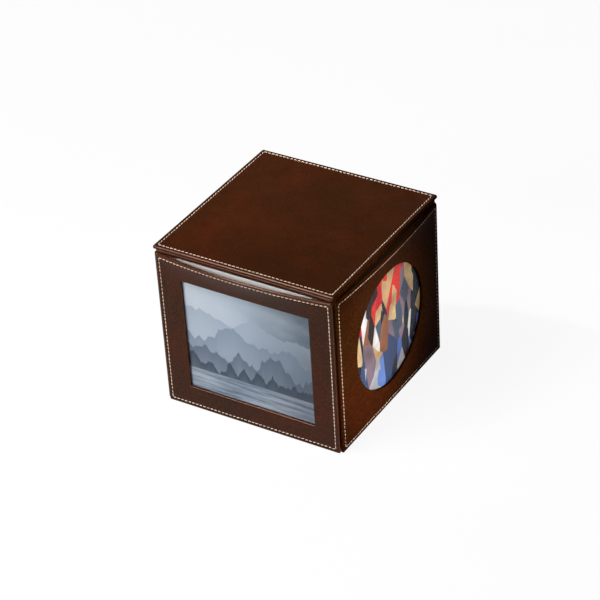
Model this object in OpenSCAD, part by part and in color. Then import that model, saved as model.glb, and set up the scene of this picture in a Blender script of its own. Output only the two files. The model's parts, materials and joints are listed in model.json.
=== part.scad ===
// Leather covered photo storage box: a square box of wrapped boards with a lift-off lid.
// Each of its four sides carries a stitched leather frame, whose pocket shows one print:
// rectangular windows at the front and back, round windows on the right and left.
// Millimetres. Origin at the centre of the underside, +Z up, front towards -Y.

/* [Overall] */
// Width over the faces of the left and right frames
box_w = 170; // [158:1:260]
// Depth over the faces of the front and back frames
box_d = 170; // [158:1:260]
// Height of the walls' rim, on which the lid rests
rim_h = 150; // [145:0.1:220]

/* [Walls] */
// Thickness of the fibreboard walls
wall_t = 3; // [2:0.1:5]
// Thickness of the fibreboard base
base_t = 3; // [2:0.1:6]
// Thickness of the leather, on the walls, the frames and the lid
skin_t = 0.8; // [0.5:0.05:1.1]
// Thickness of the lining
lining_t = 0.6; // [0.3:0.05:1.2]
// Depth of the leather turned in over the rim
turn_in = 14; // [6:0.5:30]
// Width of the leather turned in under the base
turn_under = 16; // [6:0.5:30]
// Rounding of the walls' rim and of the upright corners of walls and lid
corner_r = 1.6; // [1.2:0.1:2.2]
// How far the rolled rim stands out from the walls' leather
rim_roll = 2.2; // [0.5:0.1:2.4]
// Clearance between the rolled rim and the frames' top edges
rim_gap = 0.4; // [0.3:0.1:0.6]

/* [Side frames] */
// Thickness of the card in each frame
frame_card_t = 1.6; // [1.2:0.1:3]
// Drop from the rim to the frames' top edges
frame_drop = 3; // [1.7:0.1:6]
// Height of the frames' bottom edges above the table
frame_foot = 0.5; // [0.3:0.1:5]
// Clearance where two frames meet at a corner
corner_gap = 0.1; // [0.05:0.05:1]
// Rounding of the frames' outer and window edges
frame_edge_r = 0.8; // [0.3:0.1:1.5]
// How far the middle of the front and back frames' top edges springs out from the wall
bow_front = 7.5; // [0:0.1:9]
// The same for the right and left frames
bow_side = 4.5; // [0:0.1:7]
// Height of the band of each frame that springs out
bow_h = 30; // [8:0.5:36]

/* [Windows] */
// Width of the rectangular windows
window_w = 120; // [80:0.5:124]
// Height of the rectangular windows
window_h = 105; // [70:0.5:106]
// Diameter of the round windows
window_d = 108; // [60:0.5:109]

/* [Picture pockets] */
// Depth of the pocket between a wall and its frame
pocket_t = 1; // [0.9:0.05:3]
// Width of a print
print_w = 127; // [125:0.5:130]
// Drop from the frames' top edges to the top edges of the prints
print_drop = 1.75; // [1:0.25:6]
// How far a print reaches below the windows
print_under = 1.5; // [1:0.5:3]
// Thickness of a print
print_t = 0.3; // [0.2:0.05:0.4]
// Thickness of the clear film over a print
film_t = 0.4; // [0.2:0.05:0.45]
// Clearance beside a print in its pocket
print_gap = 0.5; // [0.2:0.1:3]
// How far the pocket's card stays inside the frame's edges
pocket_setback = 2; // [1:0.1:5]

/* [Stitching] */
// Distance of the stitched line from the leather's edge
stitch_inset = 3.5; // [2.6:0.1:6]
// Thickness of the thread
thread_t = 0.8; // [0.4:0.1:1.2]
// Depth of the groove that the thread pulls into the leather
groove_t = 0.3; // [0.1:0.05:0.4]
// Height of the thread above the leather
thread_up = 0.2; // [0.1:0.05:0.5]

/* [Lid] */
// Thickness of the fibreboard in the lid
lid_board_t = 1.6; // [1.4:0.1:5]
// How far the lid's edge stays inside the faces of the frames
lid_setback = 0.3; // [0:0.1:2]
// Rounding of the lid's edge
lid_edge_r = 1.4; // [0.5:0.1:1.6]
// Thickness of the panel that keeps the lid in place
lid_panel_t = 3; // [2:0.1:8]
// Clearance between that panel and the walls
lid_panel_gap = 1; // [0.3:0.1:3]

/* [Hidden] */
SIDES = ["front", "right", "back", "left"];
SIDE_PARTS = ["wall_board", "lining", "pocket_card", "frame_card",
              "frame_leather", "frame_thread", "window_film", "photo_print"];

frame_t = frame_card_t + skin_t;
frame_h = rim_h - frame_drop - frame_foot;
frame_mid_z = frame_foot + frame_h / 2;
// From an overall width to the outside of the leather, and to both faces of the boards
leather_in = 2 * (frame_t + pocket_t);
board_in = leather_in + 2 * skin_t;
cavity_in = board_in + 2 * wall_t;
print_bottom = -max(window_d, window_h) / 2 - print_under;
print_h = frame_h / 2 - print_drop - print_bottom;
lid_w = box_w - 2 * lid_setback;
lid_d = box_d - 2 * lid_setback;
lid_board_z = rim_h + skin_t;
lid_top_z = lid_board_z + lid_board_t + skin_t;
// From an overall width to the sides of the lid's panel
panel_in = cavity_in + 2 * (skin_t + lid_panel_gap + lining_t);
// Steps along one side of a frame's outline, and in a quarter round of its edges
side_steps = 12;
edge_steps = 3;
round_fn = 32;
rim_edge_r = 0.5;
cut = 1;

leather_colour = [0.22, 0.12, 0.07];
thread_colour = [0.85, 0.76, 0.68];
board_colour = [0.62, 0.48, 0.34];
card_colour = [0.55, 0.52, 0.47];
lining_colour = [0.12, 0.08, 0.06];
film_colour = [0.85, 0.9, 0.95, 0.3];
print_colours = [[0.6, 0.67, 0.75], [0.66, 0.4, 0.3], [0.6, 0.67, 0.75], [0.66, 0.4, 0.3]];

// Overall width along a side, and distance from the box's middle to its face
function along(side) = side % 2 == 0 ? box_w : box_d;
function reach(side) = (side % 2 == 0 ? box_d : box_w) / 2;
function frame_w(side) = along(side) - 2 * (frame_t + corner_gap);
function is_round(side) = side % 2 == 1;

// A side's own directions: X along it, Y up from the frame's middle, Z out from the frame's back
module on_side(side) {
    rotate([0, 0, 90 * side])
        translate([0, frame_t - reach(side), frame_mid_z])
            rotate([90, 0, 0])
                children();
}

// A block that is centred on the box's axis and reaches from z0 to z1
module block(w, d, z0, z1) {
    translate([-w / 2, -d / 2, z0]) cube([w, d, z1 - z0]);
}

// One rounded upright, whose bottom and top edges have their own rounding
module post(r, z0, z1, bottom_r, top_r) {
    turn = 90 / edge_steps;
    rotate_extrude($fn = round_fn) polygon(concat(
        [[0, z0]],
        [for (i = [0:edge_steps]) [r - bottom_r * (1 - sin(i * turn)), z0 + bottom_r * (1 - cos(i * turn))]],
        [for (i = [0:edge_steps]) [r - top_r * (1 - cos(i * turn)), z1 - top_r * (1 - sin(i * turn))]],
        [[0, z1]]
    ));
}

// A block with rounded uprights and rounded edges
module soft_block(w, d, z0, z1, r, bottom_r, top_r) {
    hull()
        for (x = [r - w / 2, w / 2 - r])
            for (y = [r - d / 2, d / 2 - r])
                translate([x, y, 0]) post(r, z0, z1, bottom_r, top_r);
}

// Base and walls

module base_board() {
    color(board_colour)
        block(box_w - cavity_in, box_d - cavity_in, skin_t, skin_t + base_t);
}

module base_lining() {
    color(lining_colour)
        block(box_w - cavity_in, box_d - cavity_in, skin_t + base_t, skin_t + base_t + lining_t);
}

module base_cover() {
    color(lining_colour)
        block(box_w - board_in - 2 * turn_under, box_d - board_in - 2 * turn_under, 0, skin_t);
}

// The front and back boards run the whole width, and the side boards stand between them
module wall_board(side) {
    length = along(side) - (is_round(side) ? cavity_in : board_in);
    color(board_colour)
        rotate([0, 0, 90 * side])
            translate([-length / 2, board_in / 2 - reach(side), skin_t])
                cube([length, wall_t, rim_h - 2 * skin_t]);
}

module lining(side) {
    length = along(side) - cavity_in - (is_round(side) ? 2 * lining_t : 0);
    bottom = skin_t + base_t + lining_t;
    color(lining_colour)
        rotate([0, 0, 90 * side])
            translate([-length / 2, cavity_in / 2 - reach(side), bottom])
                cube([length, lining_t, rim_h - turn_in - bottom]);
}

// The leather is rolled outwards at the rim, above the frames
module rolled_rim() {
    w = box_w - leather_in + 2 * rim_roll;
    d = box_d - leather_in + 2 * rim_roll;
    soft_block(w, d, rim_h - frame_drop + rim_gap, rim_h, corner_r + rim_roll, rim_edge_r, rim_edge_r);
}

// One piece of leather round all four walls, turned in over the rim and under the base
module body_leather() {
    mouth_in = cavity_in + 2 * skin_t;
    color(leather_colour) difference() {
        union() {
            soft_block(box_w - leather_in, box_d - leather_in, 0, rim_h, corner_r, 0, corner_r);
            rolled_rim();
        }
        difference() {
            block(box_w - board_in, box_d - board_in, skin_t, rim_h - skin_t);
            difference() {
                block(box_w - cavity_in, box_d - cavity_in, rim_h - turn_in, rim_h);
                block(box_w - mouth_in, box_d - mouth_in, rim_h - turn_in - cut, rim_h + cut);
            }
        }
        block(box_w - mouth_in, box_d - mouth_in, rim_h - turn_in, rim_h + cut);
        block(box_w - board_in - 2 * turn_under, box_d - board_in - 2 * turn_under, -cut, skin_t + cut);
    }
}

// Side frames

// Point k of a rectangle's outline, counted round from its lower left corner
function rectangle_point(w, h, k) =
    let(side = floor(k / side_steps), t = k / side_steps - side)
    side == 0 ? [w * (t - 0.5), -h / 2]
    : side == 1 ? [w / 2, h * (t - 0.5)]
    : side == 2 ? [w * (0.5 - t), h / 2]
    : [-w / 2, h * (0.5 - t)];

function round_point(d, k) =
    let(turn = 90 * k / side_steps - 135)
    d / 2 * [cos(turn), sin(turn)];

function window_point(side, grown, k) =
    is_round(side) ? round_point(window_d + 2 * grown, k)
    : rectangle_point(window_w + 2 * grown, window_h + 2 * grown, k);

// How far a frame springs out at a point of its face: most at the middle of its top edge
function spring(side, p) =
    let(
        bow = is_round(side) ? bow_side : bow_front,
        up = max(0, (p[1] - frame_h / 2) / bow_h + 1),
        across = 2 * p[0] / frame_w(side)
    )
    bow * up * up * (1 - across * across);

// A spot of a frame's section is [share of the way from the outer edge to the window,
// inset from the outer edge, inset from the window's edge, height above the frame's back]
function frame_point(side, k, spot) =
    let(
        edge = rectangle_point(frame_w(side) - 2 * spot[1], frame_h - 2 * spot[1], k),
        p = edge * (1 - spot[0]) + window_point(side, spot[2], k) * spot[0]
    )
    [p[0], p[1], spot[3] + spring(side, p)];

// A closed section that is carried round the frame. One that fills a hollow of another section
// lists the hollow's spots in the same order, so that both share the same triangles.
module frame_ring(side, section, fills_hollow = false) {
    stations = 4 * side_steps;
    n = len(section);
    on_side(side) polyhedron(
        points = [for (k = [0:stations - 1]) for (spot = section) frame_point(side, k, spot)],
        faces = [
            for (k = [0:stations - 1]) for (j = [0:n - 1])
                let(
                    a = k * n + j,
                    b = k * n + (j + 1) % n,
                    c = (k + 1) % stations * n + (j + 1) % n,
                    d = (k + 1) % stations * n + j
                )
                each fills_hollow ? [[a, c, b], [a, d, c]] : [[a, b, c], [a, c, d]]
        ]
    );
}

// Spots of a rounded edge, from the side of the frame up to its face
function edge_spots(share) = [
    for (i = [0:edge_steps])
        let(
            turn = 90 * i / edge_steps,
            inset = frame_edge_r * (1 - cos(turn))
        )
        [share, inset, inset, frame_t - frame_edge_r * (1 - sin(turn))]
];

// Spots between two insets, so that a face can follow the bow
function face_spots(outer, inner, height) =
    [for (share = [0.25:0.25:0.75]) [share, outer, inner, height]];

function reversed(list) = [for (i = [len(list) - 1:-1:0]) list[i]];

function groove_spots(low, high) = [
    for (spot = [[-1, high], [-1, low], [1, low], [1, high]])
        [0, stitch_inset + spot[0] * thread_t / 2, 0, spot[1]]
];

module frame_leather(side) {
    color(leather_colour) frame_ring(side, concat(
        [[0, 0, 0, 0]],
        edge_spots(0),
        groove_spots(frame_t - groove_t, frame_t),
        face_spots(stitch_inset + thread_t / 2, frame_edge_r, frame_t),
        reversed(edge_spots(1)),
        [[1, 0, 0, 0], [1, 0, skin_t, 0], [1, 0, skin_t, frame_card_t]],
        reversed(face_spots(skin_t, skin_t, frame_card_t)),
        [[0, skin_t, 0, frame_card_t], [0, skin_t, 0, 0]]
    ));
}

module frame_card(side) {
    color(card_colour) frame_ring(side, concat(
        [[1, 0, skin_t, 0], [1, 0, skin_t, frame_card_t]],
        reversed(face_spots(skin_t, skin_t, frame_card_t)),
        [[0, skin_t, 0, frame_card_t], [0, skin_t, 0, 0]],
        face_spots(skin_t, skin_t, 0)
    ), fills_hollow = true);
}

module frame_thread(side) {
    color(thread_colour)
        frame_ring(side, groove_spots(frame_t - groove_t, frame_t + thread_up), fills_hollow = true);
}

// Picture pockets

// A card in the shape of a U, open at the top, that holds the frame off the wall
module pocket_card(side) {
    w = frame_w(side) - 2 * pocket_setback;
    h = frame_h - 2 * pocket_setback;
    slot_w = print_w + 2 * print_gap;
    color(card_colour) on_side(side)
        translate([0, 0, -pocket_t]) linear_extrude(pocket_t) difference() {
            square([w, h], center = true);
            translate([-slot_w / 2, print_bottom]) square([slot_w, frame_h]);
        }
}

module window_film(side) {
    color(film_colour) on_side(side)
        translate([-print_w / 2, print_bottom, -film_t]) cube([print_w, print_h, film_t]);
}

module photo_print(side) {
    color(print_colours[side]) on_side(side)
        translate([-print_w / 2, print_bottom, -film_t - print_t]) cube([print_w, print_h, print_t]);
}

// Lid

module lid_board() {
    color(board_colour)
        block(lid_w - 2 * skin_t, lid_d - 2 * skin_t, lid_board_z, lid_board_z + lid_board_t);
}

// The ring that the stitched line takes up on the lid, between two heights
module lid_stitch_ring(z0, z1) {
    outer = 2 * stitch_inset - thread_t;
    inner = 2 * stitch_inset + thread_t;
    difference() {
        block(lid_w - outer, lid_d - outer, z0, z1);
        block(lid_w - inner, lid_d - inner, z0 - cut, z1 + cut);
    }
}

// Leather over the lid's board, turned under as far as the panel
module lid_leather() {
    color(leather_colour) difference() {
        soft_block(lid_w, lid_d, rim_h, lid_top_z, corner_r, lid_edge_r, lid_edge_r);
        block(lid_w - 2 * skin_t, lid_d - 2 * skin_t, lid_board_z, lid_board_z + lid_board_t);
        block(box_w - panel_in + 2 * lining_t, box_d - panel_in + 2 * lining_t, rim_h - cut, lid_board_z + cut);
        lid_stitch_ring(lid_top_z - groove_t, lid_top_z + cut);
    }
}

module lid_thread() {
    color(thread_colour) lid_stitch_ring(lid_top_z - groove_t, lid_top_z + thread_up);
}

// The panel under the lid that drops between the walls, and the lining round it
module lid_panel() {
    color(board_colour)
        block(box_w - panel_in, box_d - panel_in, lid_board_z - lid_panel_t, lid_board_z);
}

module lid_lining() {
    color(lining_colour) difference() {
        block(
            box_w - panel_in + 2 * lining_t, box_d - panel_in + 2 * lining_t,
            lid_board_z - lid_panel_t - lining_t, lid_board_z
        );
        block(box_w - panel_in, box_d - panel_in, lid_board_z - lid_panel_t, lid_board_z + cut);
    }
}

base_board();
base_lining();
base_cover();
body_leather();
for (i = [0:3]) {
    wall_board(i);
    lining(i);
    pocket_card(i);
    frame_card(i);
    frame_leather(i);
    frame_thread(i);
    window_film(i);
    photo_print(i);
}
lid_board();
lid_leather();
lid_thread();
lid_panel();
lid_lining();
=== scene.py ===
"""Leather covered photo storage box, dressed for its picture.

The boards, cards, linings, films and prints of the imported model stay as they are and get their
finishes here. The leather and the stitches are modelled new over it. Metres; front towards -Y.
"""

import json
import math

import bmesh
import bpy
from mathutils import Matrix, Vector

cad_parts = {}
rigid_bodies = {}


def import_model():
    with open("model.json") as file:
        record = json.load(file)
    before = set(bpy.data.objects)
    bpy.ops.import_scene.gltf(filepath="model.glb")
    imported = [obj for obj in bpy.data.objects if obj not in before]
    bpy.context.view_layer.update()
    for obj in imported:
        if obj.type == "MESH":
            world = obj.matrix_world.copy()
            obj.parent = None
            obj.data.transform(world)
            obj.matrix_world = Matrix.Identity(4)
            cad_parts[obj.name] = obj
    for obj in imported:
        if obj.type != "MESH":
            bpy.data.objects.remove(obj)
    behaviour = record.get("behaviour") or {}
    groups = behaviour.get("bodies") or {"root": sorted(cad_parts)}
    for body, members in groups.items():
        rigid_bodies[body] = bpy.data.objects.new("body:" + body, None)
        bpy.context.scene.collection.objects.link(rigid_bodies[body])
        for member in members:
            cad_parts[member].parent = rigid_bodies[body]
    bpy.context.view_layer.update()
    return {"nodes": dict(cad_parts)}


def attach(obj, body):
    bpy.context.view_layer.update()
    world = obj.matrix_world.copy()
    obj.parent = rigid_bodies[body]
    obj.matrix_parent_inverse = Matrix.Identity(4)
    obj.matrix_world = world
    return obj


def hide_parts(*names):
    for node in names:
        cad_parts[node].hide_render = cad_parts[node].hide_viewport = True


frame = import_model()

SIDES = ["front", "right", "back", "left"]
ROUND_WINDOWS = ["right", "left"]

# Sizes of the box, in metres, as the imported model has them
MM = 0.001
BOX_W = 170 * MM
RIM_Z = 150 * MM
WALL_FACE = 81.6 * MM
RIM_ROLL_FACE = 83.8 * MM
RIM_ROLL_Z = 147.4 * MM
ROLL_ROUND = 0.8 * MM
MOUTH = 77.0 * MM
TURN_IN = 14 * MM
TURN_UNDER_EDGE = 64.8 * MM
SKIN_T = 0.5 * MM
WALL_CORNER_R = 1.6 * MM
BASE_EDGE_R = 0.6 * MM

FRAME_W = 165 * MM
FRAME_H = 146.5 * MM
FRAME_T = 2.4 * MM
FRAME_MID_Z = 73.75 * MM
BOW_FRONT = 7.5 * MM
BOW_SIDE = 4.5 * MM
BOW_H = 30 * MM
TOP_ROLL_R = 2.3 * MM
TOP_ROLL_REACH = 2.9 * MM
SIDE_ROLL_R = 0.9 * MM
HOLE_ROLL_R = 0.7 * MM
WINDOW_W = 120 * MM
WINDOW_H = 105 * MM
WINDOW_R = 54 * MM
PICTURE_HALF_W = 61.2 * MM
PICTURE_TOP = 129.5 * MM

LID_W = 169.4 * MM
LID_Z = 150 * MM
LID_TOP_Z = 153.2 * MM
LID_OPENING = 152 * MM
LID_CORNER_R = 1.6 * MM
LID_EDGE_R = 1.25 * MM

STITCH_INSET = 3.5 * MM
STITCH_PITCH = 3.7 * MM
STITCH_LENGTH = 2.7 * MM
THREAD_R = 0.34 * MM
GROOVE_DEPTH = 0.35 * MM
GROOVE_REACH = 0.9 * MM
STITCH_SLANT = math.radians(5)
GRID_STEP = 2.5 * MM

# How far a spot may lie from the place it is looked for at
NEAR = 0.1 * MM


# Modelling by hand

def select_none():
    for other in bpy.context.view_layer.objects:
        if other.select_get():
            other.select_set(False)


def select_only(piece):
    select_none()
    piece.select_set(True)
    bpy.context.view_layer.objects.active = piece


def start_piece(name, add_primitive, **settings):
    """Adds a primitive at the origin and leaves it in edit mode, selected all over."""
    select_none()
    add_primitive(**settings)
    piece = bpy.context.object
    piece.name = name
    piece.data.name = name
    bpy.ops.object.mode_set(mode="EDIT")
    return piece


def pick(kind, test):
    """In edit mode, selects only the faces, edges or corners that pass the test."""
    bpy.ops.mesh.select_mode(type=kind)
    bpy.ops.mesh.select_all(action="DESELECT")
    mesh = bmesh.from_edit_mesh(bpy.context.object.data)
    parts = {"VERT": mesh.verts, "EDGE": mesh.edges, "FACE": mesh.faces}[kind]
    for part in parts:
        if test(part):
            part.select_set(True)
    mesh.select_flush_mode()
    bmesh.update_edit_mesh(bpy.context.object.data)


def pick_all():
    bpy.ops.mesh.select_all(action="SELECT")


def both_ends(test):
    """An edge test that holds if both ends of the edge pass."""
    return lambda edge: all(test(vertex.co) for vertex in edge.verts)


def cut_across(axis, places):
    """Cuts the whole mesh in edit mode by planes across an axis."""
    normal = [0.0, 0.0, 0.0]
    normal[axis] = 1.0
    for place in places:
        point = [0.0, 0.0, 0.0]
        point[axis] = place
        pick_all()
        bpy.ops.mesh.bisect(plane_co=point, plane_no=normal, threshold=1e-6)


def draw_out(move):
    """Extrudes what is selected and moves the new part."""
    bpy.ops.mesh.extrude_region_move(TRANSFORM_OT_translate={"value": move})


def finish_shape(piece, angle=40):
    """Leaves edit mode and shades the piece smooth between its true edges."""
    bpy.ops.object.mode_set(mode="OBJECT")
    select_only(piece)
    bpy.ops.object.shade_smooth_by_angle(angle=math.radians(angle))


def burnish(piece, on_edge, sides_dimmed_as_shade=False):
    """Gives the rolled edges of a leather piece their polished finish, the second of its materials.

    Where asked, what faces right or left gets the third material, the side frames' leather, whose reflection
    is nearly turned off as painted shade.
    """
    piece.data.materials.clear()
    for _ in range(3):
        piece.data.materials.append(None)
    for face in piece.data.polygons:
        # Faces turned right or left: painted shade, by the leather with its reflection nearly turned off
        if sides_dimmed_as_shade and abs(face.normal.x) > 0.6:
            face.material_index = 2
        elif on_edge(face.center, face.normal):
            face.material_index = 1


def thicken(piece, thickness):
    """Gives a skin its thickness, inwards."""
    select_only(piece)
    wall = piece.modifiers.new("skin", "SOLIDIFY")
    wall.thickness = thickness
    wall.offset = -1
    wall.use_even_offset = False
    bpy.ops.object.modifier_apply(modifier=wall.name)


def move_into_place(piece, matrix):
    """Moves a piece and leaves its object at the origin, with the place in its mesh."""
    piece.matrix_world = matrix @ piece.matrix_world
    select_only(piece)
    bpy.ops.object.transform_apply(location=True, rotation=True, scale=True)


def copy_of(piece, name):
    """A copy with a mesh of its own."""
    twin = piece.copy()
    twin.data = piece.data.copy()
    twin.name = name
    twin.data.name = name
    bpy.context.scene.collection.objects.link(twin)
    return twin


def join_all(pieces, name):
    """One piece made of many, with its place in its mesh."""
    select_only(pieces[0])
    for piece in pieces[1:]:
        piece.select_set(True)
    bpy.ops.object.join()
    whole = bpy.context.object
    whole.name = name
    whole.data.name = name
    bpy.ops.object.transform_apply(location=True, rotation=True, scale=True)
    return whole


def side_place(number):
    """From a side's own directions (X along it, Y up, Z out from the frame's back) to the box."""
    turn = Matrix.Rotation(math.radians(90 * number), 4, "Z")
    out = Matrix.Translation((0, FRAME_T - BOX_W / 2, FRAME_MID_Z))
    upright = Matrix.Rotation(math.radians(90), 4, "X")
    return turn @ out @ upright


# Leather of the side frames

def spring(bow, x, y):
    """How far a frame springs out from the wall at a point of its face."""
    up = max(0.0, (y - FRAME_H / 2) / BOW_H + 1)
    across = 2 * x / FRAME_W
    return bow * up * up * max(0.0, 1 - across * across)


def groove(distance):
    """How deep the stitches pull the leather down at a distance from their line."""
    reach = abs(distance) / GROOVE_REACH
    return GROOVE_DEPTH * (1 - reach) ** 2 if reach < 1 else 0.0


def lines(half, near_edge, step=GRID_STEP):
    """Places of the cuts across a face: an even grid, and closer ones along the stitched line."""
    even = [step * i for i in range(int((half - 7 * MM) / step) + 1)]
    close = [half - inset * MM for inset in near_edge]
    one_side = even[1:] + close
    return sorted([-place for place in one_side] + [0.0] + one_side)


# Insets of the closer cuts, in millimetres from the edge
NEAR_STITCHES = (2.95, 3.2, 3.5, 3.8, 4.1, 4.4, 5.4)


def frame_cover(name, has_round_window, bow):
    """The leather of one side frame, lying flat: X along the side, Y up, Z out."""
    piece = start_piece(name, bpy.ops.mesh.primitive_plane_add, size=1)
    bpy.ops.transform.resize(value=(FRAME_W, FRAME_H, 1))
    draw_out((0, 0, FRAME_T))
    pick("FACE", lambda face: face.calc_center_median().z < 0.01 * MM)
    bpy.ops.mesh.delete(type="ONLY_FACE")

    # The top edge is a wide roll, the other three are tighter
    pick("EDGE", both_ends(lambda p: p.y > FRAME_H / 2 - MM and p.z > FRAME_T - NEAR))
    bpy.ops.mesh.bevel(offset=TOP_ROLL_R, segments=8, affect="EDGES")
    pick("VERT", lambda vertex: vertex.co.y > FRAME_H / 2 - TOP_ROLL_R - NEAR / 2)
    bpy.ops.transform.resize(value=(1, TOP_ROLL_REACH / TOP_ROLL_R, 1), center_override=(0, FRAME_H / 2, 0))
    half_w = FRAME_W / 2 - NEAR
    half_h = FRAME_H / 2 - NEAR

    def on_outline(edge):
        ends = [vertex.co for vertex in edge.verts]
        on_side = all(p.x > half_w for p in ends) or all(p.x < -half_w for p in ends)
        upright = on_side and all(abs(p.y) > half_h for p in ends) and abs(ends[0].z - ends[1].z) > MM
        low = all(p.y < -half_h and p.z > FRAME_T - NEAR for p in ends)
        rim = on_side and all(p.z > NEAR / 2 for p in ends)
        return upright or low or rim

    pick("EDGE", on_outline)
    bpy.ops.mesh.bevel(offset=SIDE_ROLL_R, segments=4, affect="EDGES")

    cut_across(0, lines(FRAME_W / 2, NEAR_STITCHES))
    cut_across(1, lines(FRAME_H / 2, NEAR_STITCHES))

    # The window, whose round form starts as a square hole a little wider than it
    square = WINDOW_R + 6 * MM
    half_hole = (square, square) if has_round_window else (WINDOW_W / 2, WINDOW_H / 2)

    def in_hole(face):
        middle = face.calc_center_median()
        inside = abs(middle.x) < half_hole[0] and abs(middle.y) < half_hole[1]
        return inside and middle.z > FRAME_T - NEAR

    pick("FACE", in_hole)
    bpy.ops.mesh.delete(type="FACE")

    def on_hole(p):
        inside = abs(p.x) < half_hole[0] + NEAR and abs(p.y) < half_hole[1] + NEAR
        return inside and p.z > FRAME_T - NEAR

    if has_round_window:
        pick("EDGE", lambda edge: edge.is_boundary and both_ends(on_hole)(edge))
        bpy.ops.mesh.extrude_region()
        bpy.ops.transform.tosphere(value=1)
        mesh = bmesh.from_edit_mesh(piece.data)
        reach = max(vertex.co.xy.length for vertex in mesh.verts if vertex.select)
        bpy.ops.transform.resize(value=(WINDOW_R / reach, WINDOW_R / reach, 1))
    pick("EDGE", lambda edge: edge.is_boundary and both_ends(on_hole)(edge))
    draw_out((0, 0, -FRAME_T))
    pick("EDGE", lambda edge: both_ends(on_hole)(edge) and any(
        abs(face.normal.z) < 0.5 for face in edge.link_faces))
    bpy.ops.mesh.bevel(offset=HOLE_ROLL_R, segments=4, affect="EDGES")

    # The groove under the stitches, and the bow of the top edge
    bpy.ops.object.mode_set(mode="OBJECT")
    burnish(piece, lambda p, normal: abs(normal.z) < 0.95 or p.y > FRAME_H / 2 - TOP_ROLL_REACH)
    for vertex in piece.data.vertices:
        p = vertex.co
        if p.z > FRAME_T - GROOVE_DEPTH:
            inset = min(FRAME_W / 2 - abs(p.x), FRAME_H / 2 - abs(p.y))
            p.z -= groove(inset - STITCH_INSET)
        p.z += spring(bow, p.x, p.y)
    finish_shape(piece)
    return piece


# Leather of the lid and the body

def lid_cover(name):
    """The leather over the lid and turned under its edges."""
    piece = start_piece(name, bpy.ops.mesh.primitive_plane_add, size=1)
    bpy.ops.transform.resize(value=(LID_W, LID_W, 1))
    bpy.ops.transform.translate(value=(0, 0, LID_Z))
    draw_out((0, 0, LID_TOP_Z - LID_Z))
    pick("FACE", lambda face: face.calc_center_median().z < LID_Z + 0.01 * MM)
    bpy.ops.mesh.inset(thickness=(LID_W - LID_OPENING) / 2)
    bpy.ops.mesh.delete(type="FACE")

    corner = LID_W / 2 - NEAR
    outer = LID_W / 2 - 2 * MM

    def on_corner(edge):
        ends = [vertex.co for vertex in edge.verts]
        return abs(ends[0].z - ends[1].z) > MM and all(min(abs(p.x), abs(p.y)) > corner for p in ends)

    pick("EDGE", on_corner)
    bpy.ops.mesh.bevel(offset=LID_CORNER_R, segments=6, affect="EDGES")

    def on_rim(edge):
        ends = [vertex.co for vertex in edge.verts]
        level = abs(ends[0].z - ends[1].z) < NEAR / 10
        around = all(max(abs(p.x), abs(p.y)) > outer for p in ends)
        turns = any(abs(face.normal.z) < 0.5 for face in edge.link_faces)
        return level and around and turns

    pick("EDGE", on_rim)
    bpy.ops.mesh.bevel(offset=LID_EDGE_R, segments=5, affect="EDGES")
    for axis in (0, 1):
        cut_across(axis, lines(LID_W / 2, NEAR_STITCHES, 10 * MM))
    bpy.ops.object.mode_set(mode="OBJECT")
    for vertex in piece.data.vertices:
        p = vertex.co
        if p.z > LID_TOP_Z - 0.3 * MM:
            inset = min(LID_W / 2 - abs(p.x), LID_W / 2 - abs(p.y))
            p.z -= groove(inset - STITCH_INSET)
    finish_shape(piece)
    # Faces turned right or left get the dimmed leather, painted shade
    burnish(
        piece,
        lambda p, normal: max(abs(part) for part in normal) < 0.98 and max(abs(p.x), abs(p.y)) > outer,
        sides_dimmed_as_shade=True,
    )
    thicken(piece, SKIN_T)
    return piece


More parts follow.
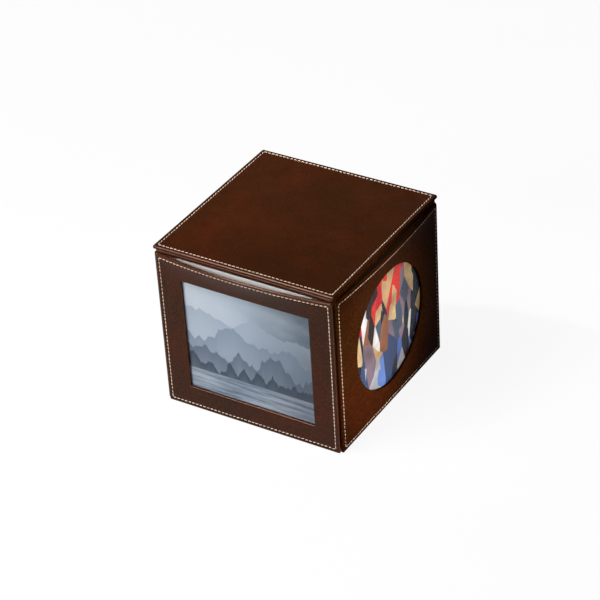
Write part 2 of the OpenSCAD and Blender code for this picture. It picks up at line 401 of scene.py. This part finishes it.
def body_cover(name):
    """The leather round the walls, turned in over the mouth and under the base."""
    piece = start_piece(name, bpy.ops.mesh.primitive_cube_add, size=1)
    bpy.ops.transform.resize(value=(2 * WALL_FACE, 2 * WALL_FACE, RIM_Z))
    bpy.ops.transform.translate(value=(0, 0, RIM_Z / 2))

    # The rolled rim stands out from the walls
    cut_across(2, [RIM_ROLL_Z])
    pick("FACE", lambda face: abs(face.normal.z) < 0.5 and face.calc_center_median().z > RIM_ROLL_Z)
    bpy.ops.mesh.extrude_region()
    grown = RIM_ROLL_FACE / WALL_FACE
    bpy.ops.transform.resize(value=(grown, grown, 1), center_override=(0, 0, 0))

    # Turned in over the rim and under the base
    pick("FACE", lambda face: face.normal.z > 0.9 and face.calc_center_median().to_2d().length < MM)
    bpy.ops.mesh.inset(thickness=WALL_FACE - MOUTH)
    draw_out((0, 0, -TURN_IN))
    bpy.ops.mesh.delete(type="FACE")
    pick("FACE", lambda face: face.normal.z < -0.9 and face.calc_center_median().z < MM)
    bpy.ops.mesh.inset(thickness=WALL_FACE - TURN_UNDER_EDGE)
    bpy.ops.mesh.delete(type="FACE")

    def upright(inner, outer):
        def test(edge):
            ends = [vertex.co for vertex in edge.verts]
            around = all(inner < max(abs(p.x), abs(p.y)) < outer for p in ends)
            return around and abs(ends[0].z - ends[1].z) > MM
        return test

    roll_corner_r = WALL_CORNER_R + RIM_ROLL_FACE - WALL_FACE
    pick("EDGE", upright(MOUTH - MM, WALL_FACE + NEAR))
    bpy.ops.mesh.bevel(offset=WALL_CORNER_R, segments=6, affect="EDGES")
    pick("EDGE", upright(RIM_ROLL_FACE - MM, RIM_ROLL_FACE + NEAR))
    bpy.ops.mesh.bevel(offset=roll_corner_r, segments=10, affect="EDGES")

    def level_at(height, inner, outer):
        def test(edge):
            ends = [vertex.co for vertex in edge.verts]
            level = all(abs(p.z - height) < NEAR / 10 for p in ends)
            around = all(inner < max(abs(p.x), abs(p.y)) < outer for p in ends)
            turns = any(abs(face.normal.z) < 0.5 for face in edge.link_faces)
            return level and around and turns
        return test

    for height in (RIM_Z, RIM_ROLL_Z):
        pick("EDGE", level_at(height, RIM_ROLL_FACE - 1.6 * MM, RIM_ROLL_FACE + NEAR))
        bpy.ops.mesh.bevel(offset=ROLL_ROUND, segments=4, affect="EDGES")
    pick("EDGE", level_at(RIM_Z, MOUTH - MM, MOUTH + MM))
    bpy.ops.mesh.bevel(offset=ROLL_ROUND, segments=4, affect="EDGES")
    pick("EDGE", level_at(0, WALL_FACE - 1.6 * MM, WALL_FACE + NEAR))
    bpy.ops.mesh.bevel(offset=BASE_EDGE_R, segments=3, affect="EDGES")
    even = [10 * MM * i for i in range(-8, 9)]
    cut_across(0, even)
    cut_across(1, even)
    cut_across(2, [10 * MM * i for i in range(1, 15)])
    bpy.ops.object.mode_set(mode="OBJECT")

    # Where the bevels meet at a corner, the roll is brought back onto its round outline
    straight = RIM_ROLL_FACE - roll_corner_r
    for vertex in piece.data.vertices:
        p = vertex.co
        below = min(max(RIM_ROLL_Z + ROLL_ROUND - p.z, 0), ROLL_ROUND)
        reach = roll_corner_r - ROLL_ROUND + math.sqrt(ROLL_ROUND ** 2 - below ** 2)
        beside = max(abs(p.x) - straight, 0)
        before = max(abs(p.y) - straight, 0)
        share = min(reach / max(math.hypot(beside, before), reach), 1)
        if beside > 0:
            p.x = math.copysign(straight + beside * share, p.x)
        if before > 0:
            p.y = math.copysign(straight + before * share, p.y)
    finish_shape(piece)
    # Faces turned right or left get the dimmed leather, painted shade
    burnish(
        piece,
        lambda p, normal: max(abs(part) for part in normal) < 0.98 or p.z > RIM_ROLL_Z - NEAR,
        sides_dimmed_as_shade=True,
    )
    thicken(piece, SKIN_T)
    return piece


# Stitches

def one_stitch(name):
    """A stitch along X: a thread that rises from one hole, lies on the leather and dips into the next."""
    piece = start_piece(
        name, bpy.ops.mesh.primitive_cylinder_add, vertices=8, radius=THREAD_R,
        depth=STITCH_LENGTH, rotation=(0, math.radians(90), 0),
    )
    bpy.ops.object.mode_set(mode="OBJECT")
    bpy.ops.object.transform_apply(rotation=True)
    bpy.ops.object.mode_set(mode="EDIT")
    cut_across(0, [share * STITCH_LENGTH for share in (-0.38, -0.2, 0.2, 0.38)])
    for where, drop in ((0.49, 0.36 * MM), (0.37, 0.09 * MM)):
        pick("VERT", lambda vertex: abs(abs(vertex.co.x) / STITCH_LENGTH - where) < 0.03)
        bpy.ops.transform.translate(value=(0, 0, -drop))
    for sign in (-1, 1):
        pick("VERT", lambda vertex: vertex.co.x * sign > 0.48 * STITCH_LENGTH)
        bpy.ops.transform.resize(value=(1, 0.55, 0.55))
    bpy.ops.object.mode_set(mode="OBJECT")
    bpy.ops.object.shade_smooth()
    return piece


def slope(height_at, place, way):
    """How steeply a surface rises at a place, along a level way."""
    reach = 0.5 * MM
    ahead = height_at(place.x + way.x * reach, place.y + way.y * reach)
    behind = height_at(place.x - way.x * reach, place.y - way.y * reach)
    return (ahead - behind) / (2 * reach)


def stitch_line(name, half_w, half_h, height_at):
    """Stitches round a rectangle, lying on a surface whose height is height_at(x, y)."""
    model = one_stitch(name + "_model")
    stitches = []
    corners = [(-half_w, -half_h), (half_w, -half_h), (half_w, half_h), (-half_w, half_h)]
    for i, start in enumerate(corners):
        end = corners[(i + 1) % 4]
        way = Vector((end[0] - start[0], end[1] - start[1], 0))
        count = round(way.length / STITCH_PITCH)
        ahead = way.normalized()
        aside = Vector((-ahead.y, ahead.x, 0))
        for k in range(count):
            middle = Vector((*start, 0)) + way * ((k + 0.5) / count)
            along = Vector((ahead.x, ahead.y, slope(height_at, middle, ahead))).normalized()
            across = Vector((aside.x, aside.y, slope(height_at, middle, aside))).normalized()
            up = along.cross(across).normalized()
            across = up.cross(along)
            slanted = along * math.cos(STITCH_SLANT) + across * math.sin(STITCH_SLANT)
            middle.z = height_at(middle.x, middle.y)
            turn = Matrix((slanted, up.cross(slanted), up)).transposed().to_4x4()
            stitch = copy_of(model, name + "_stitch")
            stitch.matrix_world = Matrix.Translation(middle) @ turn
            stitches.append(stitch)
    bpy.data.objects.remove(model)
    return join_all(stitches, name)


# Finishes

class Finish:
    """A material and short ways to wire its nodes."""

    def __init__(self, name, **settings):
        self.material = bpy.data.materials.new(name)
        self.material.use_nodes = True
        self.tree = self.material.node_tree
        self.shader = self.tree.nodes["Principled BSDF"]
        for socket, value in settings.items():
            self.shader.inputs[socket.replace("_", " ")].default_value = value
        self.place = self.tree.nodes.new("ShaderNodeTexCoord").outputs["Object"]

    def wire(self, source, socket):
        """Links an output to a socket, or sets the socket to a plain value."""
        if isinstance(source, bpy.types.NodeSocket):
            self.tree.links.new(source, socket)
        else:
            socket.default_value = source

    def node(self, kind, settings=(), **inputs):
        """A new node with its settings, and its inputs by their names."""
        node = self.tree.nodes.new(kind)
        for key, value in dict(settings).items():
            setattr(node, key, value)
        for key, value in inputs.items():
            self.wire(value, node.inputs[key.replace("_", " ")])
        return node

    def noise(self, scale, detail=3.0, roughness=0.5, place=None, distortion=0.0):
        return self.node("ShaderNodeTexNoise", Vector=place or self.place, Scale=scale, Detail=detail,
                         Roughness=roughness, Distortion=distortion).outputs["Fac"]

    def cells(self, scale, place=None):
        return self.node("ShaderNodeTexVoronoi", Vector=place or self.place, Scale=scale)

    def moved(self, turn=(0, 0, 0), scale=(1, 1, 1)):
        return self.node("ShaderNodeMapping", Vector=self.place, Rotation=turn, Scale=scale).outputs["Vector"]

    def math(self, operation, first, second=0.0):
        node = self.tree.nodes.new("ShaderNodeMath")
        node.operation = operation
        self.wire(first, node.inputs[0])
        self.wire(second, node.inputs[1])
        return node.outputs[0]

    def fit(self, value, low, high, new_low=0.0, new_high=1.0, smooth=False):
        """Carries a value from one range to another and holds it there."""
        node = self.tree.nodes.new("ShaderNodeMapRange")
        node.interpolation_type = "SMOOTHSTEP" if smooth else "LINEAR"
        for socket, given in zip(node.inputs, (value, low, high, new_low, new_high)):
            self.wire(given, socket)
        return node.outputs[0]

    def blend(self, share, first, second):
        """The first colour where the share is 0, the second where it is 1."""
        node = self.tree.nodes.new("ShaderNodeMix")
        node.data_type = "RGBA"
        self.wire(share, node.inputs[0])
        self.wire(first, node.inputs[6])
        self.wire(second, node.inputs[7])
        return node.outputs[2]

    def ramp(self, value, stops, constant=False):
        """A colour for each value, from stops given as (position, colour)."""
        node = self.tree.nodes.new("ShaderNodeValToRGB")
        node.color_ramp.interpolation = "CONSTANT" if constant else "LINEAR"
        elements = node.color_ramp.elements
        while len(elements) > 1:
            elements.remove(elements[-1])
        elements[0].position = stops[0][0]
        elements[0].color = stops[0][1]
        for position, tone in stops[1:]:
            elements.new(position).color = tone
        self.wire(value, node.inputs[0])
        return node.outputs[0]

    def bump(self, height, distance, strength=1.0, below=None):
        node = self.tree.nodes.new("ShaderNodeBump")
        node.inputs["Strength"].default_value = strength
        node.inputs["Distance"].default_value = distance
        self.wire(height, node.inputs["Height"])
        if below is not None:
            self.wire(below, node.inputs["Normal"])
        return node.outputs["Normal"]

    def use(self, **sockets):
        """Sets or links sockets of the shader and gives back the finished material."""
        for socket, source in sockets.items():
            self.wire(source, self.shader.inputs[socket.replace("_", " ")])
        return self.material


def colour(red, green, blue):
    """A colour given as it shows, on a scale to 255."""
    def straight(level):
        level /= 255
        return level / 12.92 if level <= 0.04045 else ((level + 0.055) / 1.055) ** 2.4
    return (straight(red), straight(green), straight(blue), 1.0)


def leather(name, ior, low_gloss, high_gloss, glint=(1, 1, 1, 1)):
    """Smooth glazed leather: mottled brown, a fine grain, soft unevenness and lighter worn spots."""
    skin = Finish(name, IOR=ior, Specular_Tint=glint)
    clouds = skin.noise(13, detail=4, roughness=0.6)
    patches = skin.noise(55, detail=5, roughness=0.65, distortion=0.4)
    specks = skin.noise(620, detail=3, roughness=0.7)
    base = skin.ramp(clouds, [(0.36, colour(48, 23, 4)), (0.5, colour(58, 25, 5)), (0.64, colour(68, 26, 7))])
    base = skin.blend(skin.fit(patches, 0.42, 0.66, 0.0, 0.65), base, colour(46, 20, 4))
    base = skin.blend(skin.fit(specks, 0.5, 0.72, 0.0, 0.55), base, colour(90, 47, 20))
    base = skin.blend(skin.fit(specks, 0.5, 0.3, 0.0, 0.6), base, colour(34, 12, 3))
    grain = skin.cells(1500).outputs["Distance"]
    pores = skin.noise(2600, detail=2)
    uneven = skin.noise(45, detail=2, roughness=0.4)
    normal = skin.bump(grain, 0.00006, 0.5)
    normal = skin.bump(pores, 0.00003, 0.5, below=normal)
    normal = skin.bump(uneven, 0.0005, 0.4, below=normal)
    gloss = skin.fit(skin.noise(90, detail=3), 0.3, 0.7, low_gloss, high_gloss)
    return skin.use(Base_Color=base, Roughness=gloss, Normal=normal)


def cotton_thread():
    """Pale waxed thread, with its plies."""
    cord = Finish("cotton_thread", Sheen_Weight=0.3, Sheen_Roughness=0.5, IOR=1.3)
    tone = cord.noise(260, detail=2)
    base = cord.ramp(tone, [
        (0.3, colour(214, 186, 162)), (0.55, colour(240, 216, 194)), (0.75, colour(250, 234, 216))])
    plies = cord.noise(5200, detail=1)
    return cord.use(Base_Color=base, Roughness=0.7, Normal=cord.bump(plies, 0.00005, 0.5))


def fibreboard():
    """Bare pressed fibres, light brown with darker flecks."""
    board = Finish("raw_fibreboard", IOR=1.35)
    fibres = board.noise(900, detail=6, roughness=0.75, place=board.moved(scale=(1, 1, 3)))
    flecks = board.noise(3200, detail=2)
    base = board.ramp(fibres, [
        (0.3, colour(128, 96, 66)), (0.55, colour(158, 124, 90)), (0.75, colour(180, 148, 112))])
    base = board.blend(board.fit(flecks, 0.62, 0.7, 0.0, 0.5), base, colour(104, 76, 52))
    return board.use(Base_Color=base, Roughness=0.85, Normal=board.bump(fibres, 0.00015, 0.4))


def grey_card():
    """Pulp card, as in the frames and pockets."""
    card = Finish("grey_card", IOR=1.35)
    pulp = card.noise(700, detail=6, roughness=0.8)
    base = card.ramp(pulp, [
        (0.3, colour(96, 90, 82)), (0.55, colour(124, 117, 107)), (0.75, colour(146, 139, 128))])
    return card.use(Base_Color=base, Roughness=0.9, Normal=card.bump(pulp, 0.0001, 0.4))


def flocked_lining():
    """Short dark brown pile, brushed in patches."""
    sheen = colour(150, 110, 85)
    pile = Finish("flocked_lining", Sheen_Weight=0.6, Sheen_Roughness=0.45, Sheen_Tint=sheen, IOR=1.3)
    brushed = pile.noise(38, detail=3, distortion=0.6)
    hairs = pile.noise(2800, detail=3, roughness=0.8)
    base = pile.ramp(brushed, [(0.32, colour(38, 24, 18)), (0.68, colour(54, 36, 27))])
    base = pile.blend(pile.fit(hairs, 0.45, 0.7, 0.0, 0.4), base, colour(78, 55, 42))
    return pile.use(Base_Color=base, Roughness=0.95, Normal=pile.bump(hairs, 0.0002, 0.7))


def base_felt():
    """Dark brown felt under the base."""
    felt = Finish("brown_felt", Sheen_Weight=0.4, Sheen_Roughness=0.6, IOR=1.3)
    wool = felt.noise(1500, detail=5, roughness=0.8, distortion=1.2)
    base = felt.ramp(wool, [(0.3, colour(26, 19, 16)), (0.6, colour(44, 33, 28)), (0.8, colour(66, 52, 45))])
    return felt.use(Base_Color=base, Roughness=0.97, Normal=felt.bump(wool, 0.00025, 0.7))


def clear_film():
    """Thin glossy film with slight waves."""
    film = Finish("window_film", Alpha=0.1, IOR=1.45, Base_Color=colour(60, 62, 66))
    waves = film.noise(30, detail=1)
    gloss = film.fit(film.noise(120, detail=2), 0.3, 0.7, 0.04, 0.1)
    return film.use(Roughness=gloss, Normal=film.bump(waves, 0.0004, 0.3))


def picture_place(paper, number):
    """Coordinates of a print on its side of the box: X to the right from its middle, Z up from the table."""
    turned = paper.moved(turn=(0, 0, math.radians(-90 * number)))
    return paper.node("ShaderNodeSeparateXYZ", Vector=turned).outputs


def margin(paper, across, up, picture, tone):
    """The bare paper beside and above a picture."""
    beside = paper.math("GREATER_THAN", paper.math("ABSOLUTE", across), PICTURE_HALF_W)
    above = paper.math("GREATER_THAN", up, PICTURE_TOP)
    return paper.blend(paper.math("MAXIMUM", beside, above), picture, tone)


def hills_print(name, number, seed):
    """A print of misty hills over a lake, in blue greys that darken to the lower right."""
    paper = Finish(name, IOR=1.3, Roughness=0.3)
    across, _, up = picture_place(paper, number)
    flat = paper.node("ShaderNodeCombineXYZ", X=across, Y=up, Z=seed).outputs[0]
    sky = paper.ramp(paper.fit(across, -0.06, 0.06), [
        (0.0, colour(228, 240, 252)), (0.35, colour(212, 226, 242)), (0.7, colour(164, 182, 200)),
        (1.0, colour(118, 136, 152))])
    haze = paper.noise(26, detail=4, place=paper.moved(scale=(1, 1, 2.2)))
    picture = paper.blend(paper.fit(haze, 0.4, 0.7, 0.0, 0.4), sky, colour(232, 242, 252))
    # Height, swing, scale and colour of each ridge, from the far one to the near one
    ridges = (
        (0.098, 0.020, 18, colour(188, 204, 222)),
        (0.081, 0.026, 26, colour(156, 174, 196)),
        (0.064, 0.022, 40, colour(116, 132, 154)),
        (0.050, 0.016, 75, colour(72, 84, 104)),
    )
    for i, (height, swing, scale, tone) in enumerate(ridges):
        line = paper.node(
            "ShaderNodeTexNoise", {"noise_dimensions": "1D"}, W=paper.math("ADD", across, seed + 0.37 * i),
            Scale=scale, Detail=5.0, Roughness=0.55,
        ).outputs["Fac"]
        rise = paper.math("MULTIPLY", paper.math("SUBTRACT", line, 0.5), swing * 2.4)
        top = paper.math("ADD", rise, height)
        depth = paper.math("SUBTRACT", top, up)
        below = paper.fit(depth, 0.0, 0.0009, smooth=True)
        mist = paper.fit(depth, 0.0, 0.024, 0.95, 0.45)
        picture = paper.blend(paper.math("MULTIPLY", below, mist), picture, tone)
    lake = paper.fit(up, 0.0415, 0.0405, smooth=True)
    ripples = paper.noise(60, detail=4, roughness=0.6, place=paper.moved(scale=(0.35, 0.35, 5)))
    water = paper.ramp(ripples, [
        (0.36, colour(120, 136, 160)), (0.5, colour(176, 192, 212)), (0.66, colour(222, 234, 246))])
    picture = paper.blend(lake, picture, water)
    dusk = paper.math("ADD", paper.fit(across, 0.0, 0.055, 0.0, 0.6), paper.fit(up, 0.09, 0.035, 0.0, 0.3))
    picture = paper.blend(paper.math("MULTIPLY", dusk, 0.62), picture, colour(52, 62, 74))
    grain = paper.node("ShaderNodeTexNoise", Vector=flat, Scale=2200, Detail=1.0).outputs["Fac"]
    picture = paper.blend(paper.fit(grain, 0.3, 0.7, 0.0, 0.1), picture, colour(60, 68, 80))
    return paper.use(Base_Color=margin(paper, across, up, picture, colour(250, 249, 246)))


def shapes_print(name, number, seed):
    """A print of overlapping cut paper shapes, warm in the middle, red above and blue below."""
    paper = Finish(name, IOR=1.1, Roughness=0.3)
    across, _, up = picture_place(paper, number)
    flat = paper.node("ShaderNodeCombineXYZ", X=across, Y=up, Z=seed).outputs[0]
    warm = [
        (0.0, colour(210, 172, 122)), (0.15, colour(238, 232, 226)), (0.28, colour(156, 98, 64)),
        (0.41, colour(20, 38, 48)), (0.53, colour(136, 114, 126)), (0.66, colour(228, 194, 142)),
        (0.8, colour(72, 88, 108)), (0.9, colour(26, 20, 24))]
    high = [
        (0.0, colour(206, 28, 42)), (0.28, colour(242, 238, 236)), (0.44, colour(154, 128, 134)),
        (0.56, colour(30, 22, 26)), (0.7, colour(224, 56, 46)), (0.88, colour(206, 168, 120))]
    low = [
        (0.0, colour(88, 116, 190)), (0.28, colour(56, 76, 114)), (0.48, colour(184, 184, 188)),
        (0.62, colour(108, 140, 208)), (0.82, colour(30, 34, 46))]

    def cut_paper(size, turn, shift):
        """One layer of cut shapes: their colours, and a number that tells one shape from the next."""
        slant = {"Location": shift, "Rotation": (0, 0, math.radians(turn)), "Scale": (1.0, 0.42, 1.0)}
        slanted = paper.node("ShaderNodeMapping", Vector=flat, **slant).outputs["Vector"]
        shapes = paper.cells(size, place=slanted)
        choice = paper.node("ShaderNodeSeparateColor", Color=shapes.outputs["Color"]).outputs
        middle = paper.node(
            "ShaderNodeMapping", {"vector_type": "TEXTURE"}, Vector=shapes.outputs["Position"], **slant)
        height = paper.node("ShaderNodeSeparateXYZ", Vector=middle.outputs["Vector"]).outputs[1]
        layer = paper.ramp(choice[0], warm, constant=True)
        above = paper.math("GREATER_THAN", height, 0.096)
        layer = paper.blend(above, layer, paper.ramp(choice[1], high, constant=True))
        below = paper.math("LESS_THAN", height, 0.05)
        layer = paper.blend(below, layer, paper.ramp(choice[2], low, constant=True))
        return layer, choice[1]

    picture, _ = cut_paper(62, 28, (0, 0, 0))
    smaller, choice = cut_paper(104, -34, (0.03, 0.01, 0))
    picture = paper.blend(paper.math("GREATER_THAN", choice, 0.56), picture, smaller)
    shade = paper.noise(46, detail=3, place=flat)
    picture = paper.blend(paper.fit(shade, 0.42, 0.7, 0.0, 0.5), picture, colour(58, 38, 34))
    return paper.use(Base_Color=margin(paper, across, up, picture, colour(222, 184, 140)))


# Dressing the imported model

brown_leather = leather("brown_leather", 1.21, 0.28, 0.38)
# The same leather with its reflection nearly turned off: painted shade for the side frames and for the faces
# turned right or left
shade_painted_side_leather = leather("brown_leather_dimmed_for_shade", 1.02, 0.28, 0.38)
burnished_edge = leather("burnished_edge", 1.42, 0.1, 0.16, glint=colour(255, 205, 180))
thread = cotton_thread()

# The finish of each kind of node, by the last word of its name
finishes = {
    "board": fibreboard(),
    "card": grey_card(),
    "lining": flocked_lining(),
    "cover": base_felt(),
    "film": clear_film(),
    "thread": thread,
    "leather": brown_leather,
}
finishes["panel"] = finishes["board"]
prints = {
    "front": hills_print("hills_print_front", 0, 1.7),
    "back": hills_print("hills_print_back", 2, 6.2),
    "right": shapes_print("shapes_print_right", 1, 0.31),
    "left": shapes_print("shapes_print_left", 3, 0.74),
}


def dress(node, material):
    """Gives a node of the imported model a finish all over."""
    slots = frame["nodes"][node].data.materials
    if len(slots) == 0:
        slots.append(material)
    for i in range(len(slots)):
        slots[i] = material


for node in frame["nodes"]:
    words = node.split("_")
    dress(node, prints[words[0]] if words[-1] == "print" else finishes[words[-1]])


def add_to_box(piece, material, body, slot, *nodes):
    """Gives a modelled piece its finishes, its body and the nodes that it stands for."""
    if slot == "leather":
        # The side frames' edges keep the dimmed leather too, painted shade in place of the polished edge
        edge = shade_painted_side_leather if material == shade_painted_side_leather else burnished_edge
        for i, finish in enumerate((material, edge, shade_painted_side_leather)):
            piece.data.materials[i] = finish
    else:
        piece.data.materials.clear()
        piece.data.materials.append(material)
    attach(piece, body)
    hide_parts(*nodes)


# A stitch sinks a quarter of its thread's radius into the groove
STITCH_HEIGHT = THREAD_R * 0.75 - GROOVE_DEPTH


def stitched_height(bow):
    """How high the stitches of a frame lie over its back, at a point of its face."""
    return lambda x, y: FRAME_T + STITCH_HEIGHT + spring(bow, x, y)


# One cover and one row of stitches for each kind of window, by whether it is round
covers = {
    False: frame_cover("plain_cover", False, BOW_FRONT),
    True: frame_cover("round_cover", True, BOW_SIDE),
}
rows = {
    has_round: stitch_line(
        "frame_row", FRAME_W / 2 - STITCH_INSET, FRAME_H / 2 - STITCH_INSET,
        stitched_height(BOW_SIDE if has_round else BOW_FRONT),
    )
    for has_round in (False, True)
}
for number, side in enumerate(SIDES):
    has_round = side in ROUND_WINDOWS
    cover = copy_of(covers[has_round], side + "_frame_cover")
    thicken(cover, SKIN_T)
    move_into_place(cover, side_place(number))
    # The side frames get the dimmed leather, painted shade
    add_to_box(cover, shade_painted_side_leather if has_round else brown_leather, "box", "leather", side + "_frame_leather")
    stitches = copy_of(rows[has_round], side + "_frame_stitches")
    move_into_place(stitches, side_place(number))
    add_to_box(stitches, thread, "box", "thread", side + "_frame_thread")
for model in (*covers.values(), *rows.values()):
    bpy.data.objects.remove(model)

add_to_box(body_cover("body_cover"), brown_leather, "box", "leather", "body_leather")
add_to_box(lid_cover("lid_cover"), brown_leather, "lid", "leather", "lid_leather")
lid_stitches = stitch_line(
    "lid_stitches", LID_W / 2 - STITCH_INSET, LID_W / 2 - STITCH_INSET,
    lambda x, y: LID_TOP_Z + STITCH_HEIGHT,
)
add_to_box(lid_stitches, thread, "lid", "thread", "lid_thread")


# Floor and backdrop

BACKDROP_RADIUS = 7
BACKDROP_HEIGHT = 1.6
ROUND_SIDES = 96
bpy.ops.object.select_all(action="DESELECT")
bpy.ops.mesh.primitive_circle_add(vertices=ROUND_SIDES, radius=BACKDROP_RADIUS, fill_type="NGON")
floor = bpy.context.object
floor.name = "floor"
bpy.ops.mesh.primitive_cylinder_add(
    vertices=ROUND_SIDES, radius=BACKDROP_RADIUS, depth=BACKDROP_HEIGHT, end_fill_type="NOTHING",
    location=(0, 0, BACKDROP_HEIGHT / 2),
)
backdrop = bpy.context.object
backdrop.name = "backdrop"


def ground_paint():
    """White where the camera sees it or a glossy piece mirrors it, and dull grey to the other light."""
    paint = Finish("floor_paint", Roughness=0.9, Specular_IOR_Level=0.0)
    ray = paint.tree.nodes.new("ShaderNodeLightPath").outputs
    mirrored = paint.math("MAXIMUM", ray["Is Glossy Ray"], ray["Is Transmission Ray"])
    seen = paint.math("MAXIMUM", ray["Is Camera Ray"], mirrored)
    mottle = paint.ramp(paint.noise(3, detail=2), [
        (0.3, (0.94, 0.94, 0.94, 1)), (0.7, (0.96, 0.96, 0.96, 1))])
    paint.use(Base_Color=paint.blend(seen, (0.15, 0.15, 0.15, 1), mottle))
    white = paint.node("ShaderNodeEmission", Color=(1, 1, 1, 1), Strength=1.0).outputs[0]
    mixed = paint.tree.nodes.new("ShaderNodeMixShader")
    paint.wire(paint.math("MULTIPLY", seen, 0.9), mixed.inputs[0])
    paint.wire(paint.shader.outputs[0], mixed.inputs[1])
    paint.wire(white, mixed.inputs[2])
    paint.wire(mixed.outputs[0], paint.tree.nodes["Material Output"].inputs["Surface"])
    return paint.material


ground = ground_paint()
for surface in (floor, backdrop):
    surface.data.materials.append(ground)


# Light

def softbox(name, place, aim, width, length, power, long_way=(0, 1, 0)):
    """A soft rectangular lamp that looks at a point, with its length along long_way."""
    lamp = bpy.data.lights.new(name, "AREA")
    lamp.shape = "RECTANGLE"
    lamp.size = width
    lamp.size_y = length
    lamp.energy = power
    box = bpy.data.objects.new(name, lamp)
    bpy.context.scene.collection.objects.link(box)
    back = (Vector(place) - Vector(aim)).normalized()
    across = Vector(long_way).cross(back).normalized()
    along = back.cross(across)
    turn = Matrix((across, along, back)).transposed().to_4x4()
    box.matrix_world = Matrix.Translation(place) @ turn
    box.visible_camera = False


def spotlight(name, place, aim, angle, blend, power):
    """A narrow lamp, its cone's angle in degrees, that brightens one part of the box."""
    lamp = bpy.data.lights.new(name, "SPOT")
    lamp.energy = power
    lamp.spot_size = math.radians(angle)
    lamp.spot_blend = blend
    lamp.shadow_soft_size = 0.03
    spot = bpy.data.objects.new(name, lamp)
    bpy.context.scene.collection.objects.link(spot)
    spot.location = place
    spot.rotation_euler = (Vector(aim) - Vector(place)).to_track_quat("-Z", "Y").to_euler()


softbox("top_softbox", (-0.45, -0.25, 2.2), (0, 0, 0), 1.3, 1.3, 8.5)
softbox("long_softbox", (-0.72, -0.98, 1.16), (0, -0.087, 0.147), 0.24, 1.5, 20, long_way=(0, 0.778, 0.627))
softbox("front_softbox", (-0.55, -2.0, 1.25), (0, -0.08, 0.08), 1.0, 0.7, 20)
softbox("back_softbox", (-0.2, 2.3, 0.4), (0, 0.08, 0.08), 1.0, 0.7, 12)

spotlight("side_spot", (1.6, -0.1, 0.3), (0.085, -0.035, 0.072), 7.4, 0.7, 140)
spotlight("lid_spot", (-1.5, -0.5, 1.3), (-0.15, 0.05, 0.153), 12, 1.0, 110)

# A dim sky, brighter towards its upper front left
SKY_SIDE = (-0.45, -0.5, 0.74)
world = bpy.data.worlds.new("studio")
bpy.context.scene.world = world
world.use_nodes = True
nodes = world.node_tree.nodes
links = world.node_tree.links
way = nodes.new("ShaderNodeTexCoord")
facing = nodes.new("ShaderNodeVectorMath")
facing.operation = "DOT_PRODUCT"
facing.inputs[1].default_value = SKY_SIDE
links.new(way.outputs["Generated"], facing.inputs[0])
glow = nodes.new("ShaderNodeMapRange")
glow.interpolation_type = "SMOOTHSTEP"
glow.inputs["From Min"].default_value = 0.3
glow.inputs["From Max"].default_value = 1.0
glow.inputs["To Min"].default_value = 0.03
glow.inputs["To Max"].default_value = 0.35
links.new(facing.outputs["Value"], glow.inputs["Value"])
sky = nodes["Background"]
sky.inputs["Color"].default_value = (1, 1, 1, 1)
links.new(glow.outputs["Result"], sky.inputs["Strength"])


# Camera

CAMERA_PLACE = (0.87515, -1.34452, 1.15928)
CAMERA_TURN = (55.8746, 3.0717, 31.0270)
FOCAL_LENGTH = 139.7
lens = bpy.data.cameras.new("camera")
lens.sensor_width = 36
lens.lens = FOCAL_LENGTH
camera = bpy.data.objects.new("camera", lens)
bpy.context.scene.collection.objects.link(camera)
camera.location = CAMERA_PLACE
camera.rotation_euler = [math.radians(turn) for turn in CAMERA_TURN]
bpy.context.scene.camera = camera
bpy.context.scene.view_settings.view_transform = "Standard"
